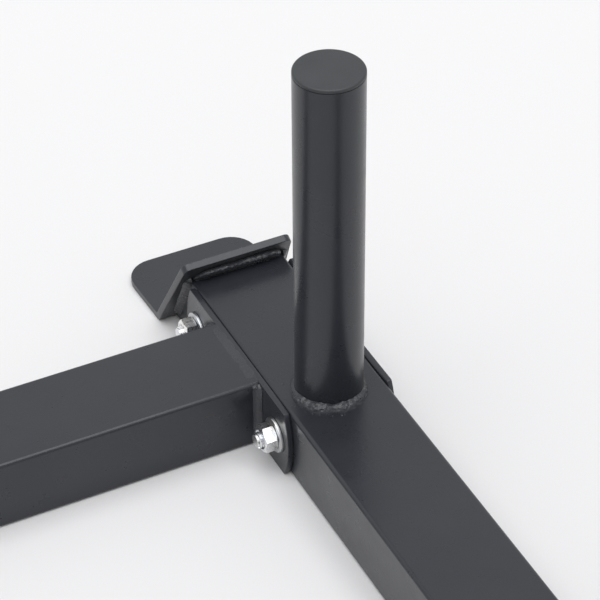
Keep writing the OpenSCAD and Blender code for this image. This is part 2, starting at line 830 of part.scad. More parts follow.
fasten(top_spots) washer();  // top_washers
fasten(gusset_spots) bolt();  // gusset_bolts
fasten(gusset_spots) nut();  // gusset_nuts
fasten(gusset_spots) washer();  // gusset_washers
left() cup_bracket();  // left_cup_bracket
left() cup_hook_plates();  // left_cup_hook_plates
left() cup_liner();  // left_cup_liner
left() cup_screws();  // left_cup_screws
cup_bracket();  // right_cup_bracket
cup_hook_plates();  // right_cup_hook_plates
cup_liner();  // right_cup_liner
cup_screws();  // right_cup_screws
left() arm_bracket();  // left_arm_bracket
left() arm_tube();  // left_arm_tube
left() arm_end_plate();  // left_arm_end_plate
left() arm_liner();  // left_arm_liner
left() arm_screws();  // left_arm_screws
left() pull_pin();  // left_pull_pin
left() pin_knob();  // left_pin_knob
arm_bracket();  // right_arm_bracket
arm_tube();  // right_arm_tube
arm_end_plate();  // right_arm_end_plate
arm_liner();  // right_arm_liner
arm_screws();  // right_arm_screws
pull_pin();  // right_pull_pin
pin_knob();  // right_pin_knob
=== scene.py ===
"""Looks of the squat rack: coated steel, weld beads, bolts, plastic, floor, light and camera."""

import json
import math
import bmesh
import bpy
from mathutils import Matrix, Vector, noise


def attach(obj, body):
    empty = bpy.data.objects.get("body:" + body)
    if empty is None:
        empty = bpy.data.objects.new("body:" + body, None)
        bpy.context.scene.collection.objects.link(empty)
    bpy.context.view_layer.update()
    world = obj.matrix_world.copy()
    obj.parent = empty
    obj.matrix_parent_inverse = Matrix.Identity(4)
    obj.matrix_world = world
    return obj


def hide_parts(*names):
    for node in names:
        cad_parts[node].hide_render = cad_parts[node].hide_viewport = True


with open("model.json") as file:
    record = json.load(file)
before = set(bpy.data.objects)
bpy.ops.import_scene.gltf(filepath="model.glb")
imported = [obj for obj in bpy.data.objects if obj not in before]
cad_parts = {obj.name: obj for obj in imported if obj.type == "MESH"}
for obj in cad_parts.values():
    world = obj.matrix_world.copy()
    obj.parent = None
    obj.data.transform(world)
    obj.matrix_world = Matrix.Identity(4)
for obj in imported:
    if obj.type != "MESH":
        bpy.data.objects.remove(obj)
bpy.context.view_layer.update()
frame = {"nodes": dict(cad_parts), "record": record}

# Sizes of the frame, in metres, as the solids have them
FOOT_X = 0.56
TUBE_W = 0.077
TUBE_H = 0.057
TUBE_R = 0.003
POST_Y = 0.4465
POST_R = 0.025
POST_H = 0.273
POST_CAP_T = 0.003
CROSS_Y = 0.510
CROSS_Z = 1.735
UPRIGHT_Y = -0.134
PLATE_T = 0.005
FLANGE_PITCH = 0.134
FLANGE_OFFSET = 0.002
BEND_Y = 0.6325
FOOT_LEAN = math.radians(28)
CUP_Z = 1.4
ARM_Z = 0.8
WELD_LEG = 0.005
FOOT_WELD = 0.004

# Frame bolts
BOLT_R = 0.006
THREAD_PITCH = 0.00175
THREAD_DEPTH = 0.00095
THREAD_STEPS = 28
HEX_FLATS = 0.019
HEAD_R = 0.014
HEAD_H = 0.006
HEAD_DOME = 0.021
NECK = 0.0045
NUT_H = 0.010
BOLT_TIP = 0.004
WASHER_R = 0.0135
WASHER_T = 0.0025
HOLE_R = 0.0065
GRIP = TUBE_W + 2 * PLATE_T
NUT_BORE = BOLT_R - 0.0003
NUT_LEAD = BOLT_R + 0.0006
NUT_MOUTH = BOLT_R + 0.0014
NUT_LEAD_DEPTH = 0.001
NUT_MOUTH_DEPTH = 0.002
NUT_FACE = 0.465
NUT_CHAMFER = math.radians(28)
GUSSET_REACH = 0.08
GUSSET_RISES = (0.045, 0.14)

SIDES = {"left": -1, "right": 1}
SMOOTH_BELOW = math.radians(32)


# Materials. A scale counts a texture's features in a metre, and a depth is in metres.

CLOUD_SCALE = 9.0
PATCH_SCALE = 60.0
ORANGE_PEEL_SCALE = 620.0
ORANGE_PEEL_DEPTH = 0.00025
NIB_SCALE = 170.0
NIB_EDGES = (0.02, 0.16)
NIB_DEPTH = 0.0002
NIB_STRENGTH = 0.35
PIT_SCALE = 420.0
PIT_DEPTH = 0.0012
ZINC_TINT_SCALE = 90.0
ZINC_GRAIN_SCALE = 500.0
PLASTIC_CLOUD_SCALE = 40.0
PLASTIC_GRAIN_SCALE = 1500.0
SAWN_CLOUD_SCALE = 25.0
SAW_LINE_SCALE = 260.0
ZINC_GRAIN_DEPTH = 0.00003
PLASTIC_GRAIN_DEPTH = 0.0002
SAW_LINE_DEPTH = 0.0001
COAT_GLOSS = (0.26, 0.33)
PLASTIC_GLOSS = (0.40, 0.52)
SAWN_GLOSS = (0.42, 0.62)
LACQUER_IOR = 1.5


def new_material(name):
    """An empty node material with its shader."""
    material = bpy.data.materials.new(name)
    material.use_nodes = True
    return material, material.node_tree, material.node_tree.nodes["Principled BSDF"]


def texture(tree, kind, **inputs):
    """A texture on the object's own coordinates."""
    node = tree.nodes.new(kind)
    where = tree.nodes.new("ShaderNodeTexCoord")
    tree.links.new(where.outputs["Object"], node.inputs["Vector"])
    for name, value in inputs.items():
        node.inputs[name].default_value = value
    return node


def spread(tree, source, low, high, start=0.3, end=0.7):
    """Maps the middle of a texture's range to the values between low and high."""
    node = tree.nodes.new("ShaderNodeMapRange")
    tree.links.new(source, node.inputs["Value"])
    node.inputs["From Min"].default_value = start
    node.inputs["From Max"].default_value = end
    node.inputs["To Min"].default_value = low
    node.inputs["To Max"].default_value = high
    return node.outputs["Result"]


def tinted(tree, factor, dark, light):
    """A colour between dark and light."""
    node = tree.nodes.new("ShaderNodeMix")
    node.data_type = "RGBA"
    tree.links.new(factor, node.inputs["Factor"])
    node.inputs[6].default_value = (*dark, 1)
    node.inputs[7].default_value = (*light, 1)
    return node.outputs[2]


def relief(tree, shader, source, depth, strength=1.0, under=None):
    """Bumps the surface by a texture, on top of the relief under it."""
    node = tree.nodes.new("ShaderNodeBump")
    node.inputs["Strength"].default_value = strength
    node.inputs["Distance"].default_value = depth
    tree.links.new(source, node.inputs["Height"])
    if under:
        tree.links.new(under, node.inputs["Normal"])
    tree.links.new(node.outputs["Normal"], shader.inputs["Normal"])
    return node.outputs["Normal"]


def powder_coat(name, dark, light, peel, pits):
    """Satin black powder coat with orange peel, faint clouds and dust nibs. Pits roughen it over welds."""
    material, tree, shader = new_material(name)
    clouds = texture(tree, "ShaderNodeTexNoise", Scale=CLOUD_SCALE, Detail=3.0)
    tree.links.new(tinted(tree, spread(tree, clouds.outputs["Fac"], 0, 1), dark, light),
                   shader.inputs["Base Color"])
    patches = texture(tree, "ShaderNodeTexNoise", Scale=PATCH_SCALE, Detail=4.0)
    tree.links.new(spread(tree, patches.outputs["Fac"], *COAT_GLOSS), shader.inputs["Roughness"])
    orange_peel = texture(tree, "ShaderNodeTexNoise", Scale=ORANGE_PEEL_SCALE, Detail=2.0)
    coat = relief(tree, shader, orange_peel.outputs["Fac"], ORANGE_PEEL_DEPTH, peel)
    nibs = texture(tree, "ShaderNodeTexVoronoi", Scale=NIB_SCALE)
    raised = spread(tree, nibs.outputs["Distance"], 1, 0, *NIB_EDGES)
    coat = relief(tree, shader, raised, NIB_DEPTH, NIB_STRENGTH, coat)
    if pits:
        spatter = texture(tree, "ShaderNodeTexNoise", Scale=PIT_SCALE, Detail=4.0, Roughness=0.7)
        relief(tree, shader, spatter.outputs["Fac"], PIT_DEPTH, pits, coat)
    shader.inputs["IOR"].default_value = LACQUER_IOR
    shader.inputs["Sheen Weight"].default_value = 0.06
    shader.inputs["Sheen Roughness"].default_value = 0.35
    return material


def zinc_plate(name, bluish, straw, smooth, rough):
    """Zinc plate with a faint blue and straw tint."""
    material, tree, shader = new_material(name)
    tint = texture(tree, "ShaderNodeTexNoise", Scale=ZINC_TINT_SCALE, Detail=3.0)
    tree.links.new(tinted(tree, spread(tree, tint.outputs["Fac"], 0, 1), bluish, straw),
                   shader.inputs["Base Color"])
    dull = texture(tree, "ShaderNodeTexNoise", Scale=ZINC_GRAIN_SCALE, Detail=4.0)
    tree.links.new(spread(tree, dull.outputs["Fac"], smooth, rough), shader.inputs["Roughness"])
    relief(tree, shader, dull.outputs["Fac"], ZINC_GRAIN_DEPTH, 0.1)
    shader.inputs["Metallic"].default_value = 1.0
    return material


def moulded_plastic():
    """Black moulded plastic with a fine spark-eroded grain."""
    material, tree, shader = new_material("moulded_plastic")
    clouds = texture(tree, "ShaderNodeTexNoise", Scale=PLASTIC_CLOUD_SCALE, Detail=2.0)
    tree.links.new(tinted(tree, spread(tree, clouds.outputs["Fac"], 0, 1),
                          (0.026, 0.028, 0.032), (0.034, 0.036, 0.041)), shader.inputs["Base Color"])
    grain = texture(tree, "ShaderNodeTexNoise", Scale=PLASTIC_GRAIN_SCALE, Detail=3.0)
    tree.links.new(spread(tree, grain.outputs["Fac"], *PLASTIC_GLOSS), shader.inputs["Roughness"])
    relief(tree, shader, grain.outputs["Fac"], PLASTIC_GRAIN_DEPTH, 0.4)
    shader.inputs["IOR"].default_value = LACQUER_IOR
    return material


def sawn_polyethylene():
    """Dark grey slab of dense polyethylene with saw lines and light rub marks."""
    material, tree, shader = new_material("sawn_polyethylene")
    clouds = texture(tree, "ShaderNodeTexNoise", Scale=SAWN_CLOUD_SCALE, Detail=4.0)
    tree.links.new(tinted(tree, spread(tree, clouds.outputs["Fac"], 0, 1),
                          (0.038, 0.039, 0.041), (0.055, 0.056, 0.059)), shader.inputs["Base Color"])
    lines = texture(tree, "ShaderNodeTexWave", Scale=SAW_LINE_SCALE, Distortion=1.5, Detail=2.0)
    lines.bands_direction = "Y"
    tree.links.new(spread(tree, clouds.outputs["Fac"], *SAWN_GLOSS), shader.inputs["Roughness"])
    relief(tree, shader, lines.outputs["Fac"], SAW_LINE_DEPTH, 0.25)
    return material


COAT = powder_coat("powder_coat_satin", (0.0184, 0.0206, 0.0272), (0.0240, 0.0264, 0.0334), 0.18, 0)
# The welds' coat is the frame's black paint in a lighter tone, a painted highlight on the beads. Its pits are
# real roughness of paint over weld.
WELD_COAT_PAINTED_HIGHLIGHT = powder_coat("powder_coat_on_weld_painted_highlight", (0.024, 0.026, 0.032), (0.042, 0.045, 0.053), 0.2, 0.35)
ZINC = zinc_plate("zinc_plate", (0.80, 0.82, 0.86), (0.90, 0.89, 0.86), 0.24, 0.34)
WASHER_ZINC = zinc_plate("zinc_plate_tumbled", (0.46, 0.48, 0.51), (0.56, 0.56, 0.55), 0.30, 0.40)
PLASTIC = moulded_plastic()
LINER = sawn_polyethylene()
FINISHES = {"powder_coat": COAT, "zinc": ZINC, "black_plastic": PLASTIC, "liner": LINER}


# Making pieces

LATHE_MERGE = 1e-6
NODE_MERGE = 1e-5
FLAT_BELOW = math.radians(0.5)
SHARP_ABOVE = math.radians(35)
ON_TUBE = 1e-4


def joined(parts):
    """One mesh from several."""
    whole = bmesh.new()
    for part in parts:
        mesh = bpy.data.meshes.new("part")
        part.to_mesh(mesh)
        part.free()
        whole.from_mesh(mesh)
        bpy.data.meshes.remove(mesh)
    return whole


def finished(name, bm, material, body, nodes=()):
    """Turns a mesh into a piece that rides on a body and stands for the named nodes."""
    for face in bm.faces:
        face.smooth = True
    for edge in bm.edges:
        edge.smooth = edge.calc_face_angle(0) < SMOOTH_BELOW
    mesh = bpy.data.meshes.new(name)
    bm.to_mesh(mesh)
    bm.free()
    mesh.materials.append(material)
    piece = bpy.data.objects.new(name, mesh)
    bpy.context.collection.objects.link(piece)
    even = piece.modifiers.new("even_shading", "WEIGHTED_NORMAL")
    even.keep_sharp = True
    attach(piece, body)
    if nodes:
        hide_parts(*nodes)
    return piece


def lathe(profile, steps=64, ring=False):
    """Spins (radius, height) points about the z axis. A ring's profile closes on itself."""
    bm = bmesh.new()
    points = [bm.verts.new((radius, 0, height)) for radius, height in profile]
    edges = [bm.edges.new(pair) for pair in zip(points, points[1:])]
    if ring:
        edges.append(bm.edges.new((points[-1], points[0])))
    bmesh.ops.spin(bm, geom=points + edges, cent=(0, 0, 0), axis=(0, 0, 1), dvec=(0, 0, 0),
                   angle=math.tau, steps=steps, use_merge=True, use_normal_flip=False, use_duplicate=False)
    bmesh.ops.remove_doubles(bm, verts=bm.verts, dist=LATHE_MERGE)
    bmesh.ops.recalc_face_normals(bm, faces=bm.faces)
    return bm


def set_at(bm, place, out=(0, 0, 1), turn=0.0):
    """Turns a piece about its own z axis, points that axis outwards and moves it to its place."""
    facing = Vector(out).to_track_quat("Z", "Y").to_matrix().to_4x4()
    matrix = Matrix.Translation(place) @ facing @ Matrix.Rotation(turn, 4, "Z")
    bmesh.ops.transform(bm, matrix=matrix, verts=bm.verts)
    return bm


def on_side(bm, sign):
    """A shape made for the rack's right side, mirrored if it goes on the left."""
    if sign < 0:
        bmesh.ops.scale(bm, vec=(-1, 1, 1), verts=bm.verts)
        bmesh.ops.reverse_faces(bm, faces=bm.faces)
    return bm


def close(bm):
    """Fills what is open in a mesh and turns its faces outwards."""
    bmesh.ops.holes_fill(bm, edges=[edge for edge in bm.edges if edge.is_boundary], sides=0)
    bmesh.ops.recalc_face_normals(bm, faces=bm.faces)
    if bm.calc_volume(signed=True) < 0:
        bmesh.ops.reverse_faces(bm, faces=bm.faces)
    return bm


def bevelled(bm, edges, radius, segments):
    """The mesh with these edges rounded."""
    bmesh.ops.bevel(bm, geom=edges, offset=radius, offset_type="OFFSET", segments=segments, profile=0.5,
                    affect="EDGES", clamp_overlap=True, material=-1)
    return bm


def rounded_copy(node, radius, seat_radius):
    """A node's mesh with flat faces whole and sharp edges rounded, those that touch a tube by seat_radius."""
    bm = bmesh.new()
    bm.from_mesh(frame["nodes"][node].data)
    bmesh.ops.remove_doubles(bm, verts=bm.verts, dist=NODE_MERGE)
    bmesh.ops.dissolve_limit(bm, angle_limit=FLAT_BELOW, use_dissolve_boundaries=False,
                             verts=bm.verts, edges=bm.edges)
    if seat_radius:
        seat = [edge for edge in bm.edges if edge.calc_face_angle(0) > SHARP_ABOVE and
                all(abs(abs(abs(vert.co.x) - FOOT_X) - TUBE_W / 2) < ON_TUBE for vert in edge.verts)]
        bevelled(bm, seat, seat_radius, 3)
    return bevelled(bm, [edge for edge in bm.edges if edge.calc_face_angle(0) > SHARP_ABOVE], radius, 2)


def body_of(node):
    """The body that a node rides on."""
    bodies = frame["record"]["behaviour"]["bodies"]
    return next(body for body in bodies if node in bodies[body])


# Weld beads

# A bead is a fillet with legs on its two surfaces, a crown over the straight fillet, ripples and slow lumps
POST_BEAD = {"legs": (0.0062, 0.0050), "crown": 0.0009, "ripple": 0.00007, "lump": 0.0015}
FOOT_TOP_BEAD = {"legs": (FOOT_WELD * 1.1, 0.0108), "crown": 0.0028, "ripple": 0.00008, "lump": 0.0009}
FOOT_SIDE_BEAD = {"legs": (FOOT_WELD * 1.1, 0.0055), "crown": 0.0003, "ripple": 0.00002, "lump": 0.0004}
FLANGE_BEAD = {"legs": (WELD_LEG * 1.06, WELD_LEG * 1.06), "crown": 0.0005, "ripple": 0.00004,
               "lump": 0.0003}
CUP_BEAD = {"legs": (0.0042, 0.0038), "crown": 0.0006, "ripple": 0.00014, "lump": 0.0006}
ARM_TUBE_BEAD = {"legs": (0.0050, 0.0046), "crown": 0.0007, "ripple": 0.00016, "lump": 0.0007}
ARM_WEB_BEAD = {"legs": (0.0040, 0.0040), "crown": 0.0006, "ripple": 0.00014, "lump": 0.0006}

RIPPLE_PITCH = 0.0026
BEAD_STEP = 0.0007
BEAD_AROUND = 14
BEAD_OUTSIDE = 0.7
BEAD_ROOT = 0.0008
BEAD_SINK = 0.0002
LUMP_LENGTH = 0.012
BEAD_MERGE = 2e-5
RING_FRONT = 112
RING_REACH = 78
RING_LEAST = 0.36
SEAM_STEP = 0.001
SEAM_ROOT = 0.001
SEAM_WAVE = 0.006
SEAM_WANDER = 0.0012
SEAM_WANDER_LENGTH = 0.01
DROP_UNEVEN = 0.25
DROP_FLATNESS = 0.55


def bead(path, length, legs, crown, ripple, lump, closed=False, seed=0.0, fullness=None):
    """A fillet bead. At a share s of its length, path(s) gives the corner and both surfaces' directions."""
    along = max(24, round(length / BEAD_STEP))
    ripples = round(length / RIPPLE_PITCH)
    leg = max(legs)
    bm = bmesh.new()
    bmesh.ops.create_grid(bm, x_segments=along, y_segments=BEAD_AROUND, size=1)
    for vert in bm.verts:
        s = (vert.co.x + 1) / 2
        loop = (vert.co.y + 1) / 2
        if loop > 1 - 0.5 / BEAD_AROUND:
            loop = 0.0
        corner, first, second = path(s)
        face = min(loop / BEAD_OUTSIDE, 1)
        if closed:
            spot = Vector((math.cos(math.tau * s), math.sin(math.tau * s), 0))
            spot *= length / math.tau / LUMP_LENGTH
        else:
            spot = Vector((s * length / LUMP_LENGTH, 0, 0))
        spot.z += seed
        swell = 1 + lump / leg * (1.5 * noise.noise(spot * 1.1) + noise.noise(spot * 3.7))
        if fullness:
            swell *= fullness(s)
        if not closed:
            end = min(1.0, min(s, 1 - s) * length / leg)
            swell *= math.sqrt(end * (2 - end))
        first_leg = legs[0] * swell
        second_leg = legs[1] * swell
        root = BEAD_ROOT * min(1.0, swell)
        if loop <= BEAD_OUTSIDE:
            crescent = (2 * face - 1) ** 2 * 0.5
            wave = math.sin(math.tau * (s * ripples + crescent + noise.noise(spot * 2)))
            grain = noise.noise(spot * 9 + Vector((0, 0, face * 5)))
            rise = math.sin(math.pi * face) * min(1.0, swell) * (crown + ripple * wave + 0.5 * lump * grain)
            point = corner + first * (first_leg * (1 - face) + rise) + second * (second_leg * face + rise)
            point -= (first * face + second * (1 - face)) * BEAD_SINK
        else:
            back = (loop - BEAD_OUTSIDE) / (1 - BEAD_OUTSIDE)
            point = corner + first * (first_leg * max(0.0, 2 * back - 1) - root)
            point += second * (second_leg * max(0.0, 1 - 2 * back) - root)
        vert.co = point
    bmesh.ops.remove_doubles(bm, verts=bm.verts, dist=BEAD_MERGE)
    return close(bm)


def straight_bead(start, end, first, second, form, seed):
    """A bead along a straight corner between two surfaces."""
    start, end = Vector(start), Vector(end)
    first, second = Vector(first).normalized(), Vector(second).normalized()
    return bead(lambda s: (start.lerp(end, s), first, second), (end - start).length, seed=seed, **form)


def ring_bead(centre, radius, form, seed):
    """A bead around the foot of an upright round tube, fullest in front, where it is easiest to weld."""
    def path(s):
        out = Vector((math.cos(math.tau * s), math.sin(math.tau * s), 0))
        return Vector(centre) + out * radius, out, Vector((0, 0, 1))

    def fullness(s):
        away = (math.degrees(math.tau * s) + RING_FRONT + 180) % 360 - 180
        return RING_LEAST + (1 - RING_LEAST) * math.exp(-(away / RING_REACH) ** 4)
    return bead(path, math.tau * radius, closed=True, seed=seed, fullness=fullness, **form)


def droplet(place, size, seed):
    """A drop of weld spatter, flattened on its surface."""
    bm = bmesh.new()
    bmesh.ops.create_icosphere(bm, subdivisions=2, radius=1)
    for vert in bm.verts:
        vert.co *= 1 + DROP_UNEVEN * noise.noise(vert.co * 1.4 + Vector((seed, 0, 0)))
        vert.co = Vector((vert.co.x * size, vert.co.y * size, vert.co.z * size * DROP_FLATNESS))
        vert.co += Vector(place)
    return bm


def dressed_seam(start, end, half_width, height, seed):
    """A weld ground flush on a level face: a low uneven swelling along the seam."""
    start, end = Vector(start), Vector(end)
    length = (end - start).length
    ahead = (end - start).normalized()
    aside = ahead.cross(Vector((0, 0, 1)))
    bm = bmesh.new()
    bmesh.ops.create_grid(bm, x_segments=max(12, round(length / SEAM_STEP)), y_segments=12, size=1)
    for vert in bm.verts:
        s, across = (vert.co.x + 1) / 2, vert.co.y
        spot = Vector((s * length / SEAM_WAVE, across * 0.8, seed))
        swell = (1 - across ** 4) * min(1.0, 8 * min(s, 1 - s))
        rise = height * (swell * (0.7 + 0.9 * noise.noise(spot)) - 0.3)
        wander = SEAM_WANDER * noise.noise(Vector((s * length / SEAM_WANDER_LENGTH, 0, seed + 5)))
        vert.co = start + ahead * (s * length) + aside * (across * half_width + wander)
        vert.co.z += rise
    rim = bmesh.ops.extrude_edge_only(bm, edges=[edge for edge in bm.edges if edge.is_boundary])
    sunk = [item for item in rim["geom"] if isinstance(item, bmesh.types.BMVert)]
    bmesh.ops.translate(bm, vec=(0, 0, -SEAM_ROOT), verts=sunk)
    return close(bm)


# Storage posts and their caps

POST_WALL = 0.003
POST_TOP = POST_H - POST_CAP_T
PLUG_R = POST_R - 0.0034
PLUG_LOW = POST_TOP - 0.014
CAP_EDGE = 0.0015
ROUND_STEPS = 96
SPATTER_DROPS = 14
SPATTER_FROM = 150
SPATTER_STEP = 9
SPATTER_NEAR = POST_R + 0.0075
SPATTER_REACH = 0.006
SPATTER_LEAST = 0.0004
SPATTER_MORE = 0.0009

post_profile = [(POST_R - POST_WALL, 0), (POST_R, 0), (POST_R, POST_TOP - 0.0006),
                (POST_R - 0.0002, POST_TOP - 0.0002), (POST_R - 0.0007, POST_TOP),
                (POST_R - POST_WALL, POST_TOP)]
cap_arc = [(POST_R - CAP_EDGE + CAP_EDGE * math.cos(a), POST_H - CAP_EDGE + CAP_EDGE * math.sin(a))
           for a in [math.radians(15 * i) for i in range(7)]]
cap_profile = [(0, PLUG_LOW), (PLUG_R, PLUG_LOW), (PLUG_R, POST_TOP), (POST_R - 0.0008, POST_TOP),
               (POST_R - 0.0002, POST_TOP + 0.0003), *cap_arc, (0, POST_H)]

for side, sign in SIDES.items():
    foot = (sign * FOOT_X, POST_Y, TUBE_H)
    finished(f"{side}_storage_post_tube", set_at(lathe(post_profile, ROUND_STEPS, ring=True), foot), COAT,
             "frame", [f"{side}_storage_post"])
    finished(f"{side}_post_cap_disc", set_at(lathe(cap_profile, ROUND_STEPS), foot), PLASTIC, "frame",
             [f"{side}_post_cap"])
    right_foot = Vector((FOOT_X, POST_Y, TUBE_H))
    parts = [ring_bead(right_foot, POST_R, POST_BEAD, 3.0 + sign)]
    for index in range(SPATTER_DROPS):
        stray = 40 * noise.noise(Vector((index * 0.7, sign, 0)))
        angle = math.radians(SPATTER_FROM + SPATTER_STEP * index + stray)
        reach = SPATTER_NEAR + SPATTER_REACH * abs(noise.noise(Vector((index * 1.9, 3, sign))))
        place = right_foot + Vector((math.cos(angle) * reach, math.sin(angle) * reach, 0))
        size = SPATTER_LEAST + SPATTER_MORE * abs(noise.noise(Vector((index * 2.3, 8, 1))))
        parts.append(droplet(place, size, index))
    finished(f"{side}_post_weld", on_side(joined(parts), sign), WELD_COAT_PAINTED_HIGHLIGHT, "frame")


# Frame bolts, nuts and washers


def round_head():
    """A carriage bolt's head, from its bearing face at z = 0 outwards."""
    arc = []
    for step in range(9):
        reach = HEAD_R * (1 - step / 8)
        arc.append((reach, HEAD_H - HEAD_DOME + math.sqrt(HEAD_DOME ** 2 - reach ** 2)))
    return lathe([(0, 0), (HEAD_R - 0.0002, 0), (HEAD_R, 0.0002), *arc], 64)


def square_neck():
    """The neck under the head, which keeps the bolt from turning in its plate."""
    bm = bmesh.new()
    bmesh.ops.create_cube(bm, size=1)
    bmesh.ops.scale(bm, vec=(2 * BOLT_R, 2 * BOLT_R, NECK), verts=bm.verts)
    bmesh.ops.translate(bm, vec=(0, 0, -NECK / 2), verts=bm.verts)
    return bm


def hex_nut():
    """A nut with round chamfers, from its bearing face at z = 0: a round blank drawn in to a hexagon."""
    start = HEX_FLATS * NUT_FACE
    corner = HEX_FLATS / 2 / math.cos(math.radians(30))
    bm = lathe([(NUT_BORE, NUT_LEAD_DEPTH), (NUT_LEAD, 0), (start, 0), (corner, 0), (corner, NUT_H),
                (start, NUT_H), (NUT_MOUTH, NUT_H), (NUT_BORE, NUT_H - NUT_MOUTH_DEPTH)], 72, ring=True)
    for vert in bm.verts:
        radius = math.hypot(vert.co.x, vert.co.y)
        if radius > start + 1e-6:
            turn = math.atan2(vert.co.y, vert.co.x) % (math.tau / 6) - math.tau / 12
            limit = HEX_FLATS / 2 / math.cos(turn)
            vert.co.x *= limit / radius
            vert.co.y *= limit / radius
            cut = (limit - start) * math.tan(NUT_CHAMFER)
            vert.co.z = cut if vert.co.z < NUT_H / 2 else NUT_H - cut
    return bm


def thread(radius, pitch, depth, low, high):
    """A screw thread as a ridge that winds up the core and runs out at its top."""
    turns = (high - low) / pitch
    bm = bmesh.new()
    inner = radius - depth - 0.0001
    points = [bm.verts.new(point) for point in
              [(inner, 0, low), (radius, 0, low + pitch * 0.40), (radius, 0, low + pitch * 0.52),
               (inner, 0, low + pitch * 0.92)]]
    edges = [bm.edges.new((points[i], points[(i + 1) % 4])) for i in range(4)]
    count = round(turns * THREAD_STEPS)
    bmesh.ops.spin(bm, geom=points + edges, cent=(0, 0, 0), axis=(0, 0, 1),
                   dvec=(0, 0, (high - low - pitch) / count), angle=math.tau * (turns - 1), steps=count,
                   use_merge=False, use_normal_flip=False, use_duplicate=False)
    bmesh.ops.holes_fill(bm, edges=[edge for edge in bm.edges if edge.is_boundary], sides=4)
    for vert in bm.verts:
        reach = math.hypot(vert.co.x, vert.co.y)
        room = max(0.0, min(1.0, 0.45 + (high - vert.co.z) / pitch))
        if reach > inner + 1e-6:
            wanted = inner + (reach - inner) * room
            vert.co.x *= wanted / reach
            vert.co.y *= wanted / reach
    bmesh.ops.recalc_face_normals(bm, faces=bm.faces)
    return bm


def frame_bolt():
    """The parts of a carriage bolt that stands outwards along z, measured from the middle of its grip."""
    seat = GRIP / 2
    tip = seat + WASHER_T + NUT_H + BOLT_TIP
    core = BOLT_R - THREAD_DEPTH
    shank = lathe([(0, -tip), (core - 0.0003, -tip), (core, -tip + 0.0004), (core, -seat),
                   (BOLT_R, -seat + 0.001), (BOLT_R, seat), (0, seat)], 32)
    ridge = thread(BOLT_R, THREAD_PITCH, THREAD_DEPTH, -BOLT_TIP - 0.004, -0.0002)
    bmesh.ops.transform(ridge, matrix=Matrix.Translation((0, 0, -tip)) @ Matrix.Rotation(math.pi, 4, "X"),
                        verts=ridge.verts)
    return [shank, ridge, set_at(square_neck(), (0, 0, seat)), set_at(round_head(), (0, 0, seat))]


def washer():
    """A flat washer with edges rounded by stamping, from its seat at z = 0."""
    r, t, b = WASHER_R, WASHER_T, HOLE_R
    return lathe([(b, 0), (r - 0.0003, 0), (r, 0.0004), (r, t - 0.0008), (r - 0.0003, t - 0.0003),
                  (r - 0.0009, t), (b + 0.0004, t), (b, t - 0.0004)], 64, ring=True)


# How far each nut and bolt is turned, in degrees
FIRST_TURN = 20
TURN_STEP = 37
SIDE_TURN = 11


def fastener_sets(group, spots):
    """Bolts, nuts and washers at (y, z) spots on both sides of the rack, heads outwards."""
    bolts, nuts, washers = [], [], []
    for side, sign in SIDES.items():
        for index, (y, z) in enumerate(spots):
            out = (sign, 0, 0)
            inwards = (-sign, 0, 0)
            centre = Vector((sign * FOOT_X, y, z))
            turn = math.radians(FIRST_TURN + TURN_STEP * index + SIDE_TURN * (1 - sign))
            bolts += [set_at(part, centre, out, turn) for part in frame_bolt()]
            inner_face = centre - Vector(out) * (GRIP / 2)
            nuts.append(set_at(hex_nut(), inner_face - Vector(out) * WASHER_T, inwards, turn))
            washers.append(set_at(washer(), inner_face, inwards, turn))
    for kind, parts, plate in (("bolts", bolts, ZINC), ("nuts", nuts, ZINC),
                               ("washers", washers, WASHER_ZINC)):
        finished(f"{group}_{kind}_zinc", joined(parts), plate, "frame", [f"{group}_{kind}"])


fastener_sets("base", [(CROSS_Y + FLANGE_OFFSET + s * FLANGE_PITCH / 2, TUBE_H / 2) for s in (-1, 1)])
fastener_sets("top", [(UPRIGHT_Y, CROSS_Z + s * FLANGE_PITCH / 2) for s in (-1, 1)])
fastener_sets("gusset", [(UPRIGHT_Y - GUSSET_REACH, TUBE_H / 2), (UPRIGHT_Y + GUSSET_REACH, TUBE_H / 2),
                         *[(UPRIGHT_Y, TUBE_H + rise) for rise in GUSSET_RISES]])


# Weld beads of the frame

TOP_BEAD_PAST = 0.0015
SIDE_BEAD_LOW = 0.010
SIDE_BEAD_PAST = 0.003
FLANGE_BEAD_SHORT = 0.001
SEAM_BACK = 0.002
SEAM_HALF_W = 0.0042
SEAM_H = 0.0004
# A drop of weld closes each top corner of the crossmember's end
DROP_SIZE = 0.0032
DROP_BACK = 0.003
DROP_INSET = 0.0005
DROP_LOW = 0.0028
up = Vector((0, -math.sin(FOOT_LEAN), math.cos(FOOT_LEAN)))
inwards = Vector((0, -math.cos(FOOT_LEAN), -math.sin(FOOT_LEAN)))


def foot_welds(seed):
    """The beads that join the right rear foot plate to its tube: across the top and down both sides."""
    seam_y = BEND_Y - TUBE_H * math.tan(FOOT_LEAN)
    half = TUBE_W / 2 - TUBE_R
    reach = half + TOP_BEAD_PAST
    beads = [straight_bead((FOOT_X - reach, seam_y, TUBE_H), (FOOT_X + reach, seam_y, TUBE_H),
                           (0, -1, 0), up, FOOT_TOP_BEAD, seed)]
    low = Vector((0, BEND_Y, 0)) + up * SIDE_BEAD_LOW
    high = Vector((0, BEND_Y, 0)) + up * (TUBE_H / math.cos(FOOT_LEAN) + SIDE_BEAD_PAST)
    for sign in (-1, 1):
        aside = Vector((FOOT_X + sign * TUBE_W / 2, 0, 0))
        beads.append(straight_bead(low + aside, high + aside, inwards, (sign, 0, 0), FOOT_SIDE_BEAD,
                                   seed + sign))
    return joined(beads)


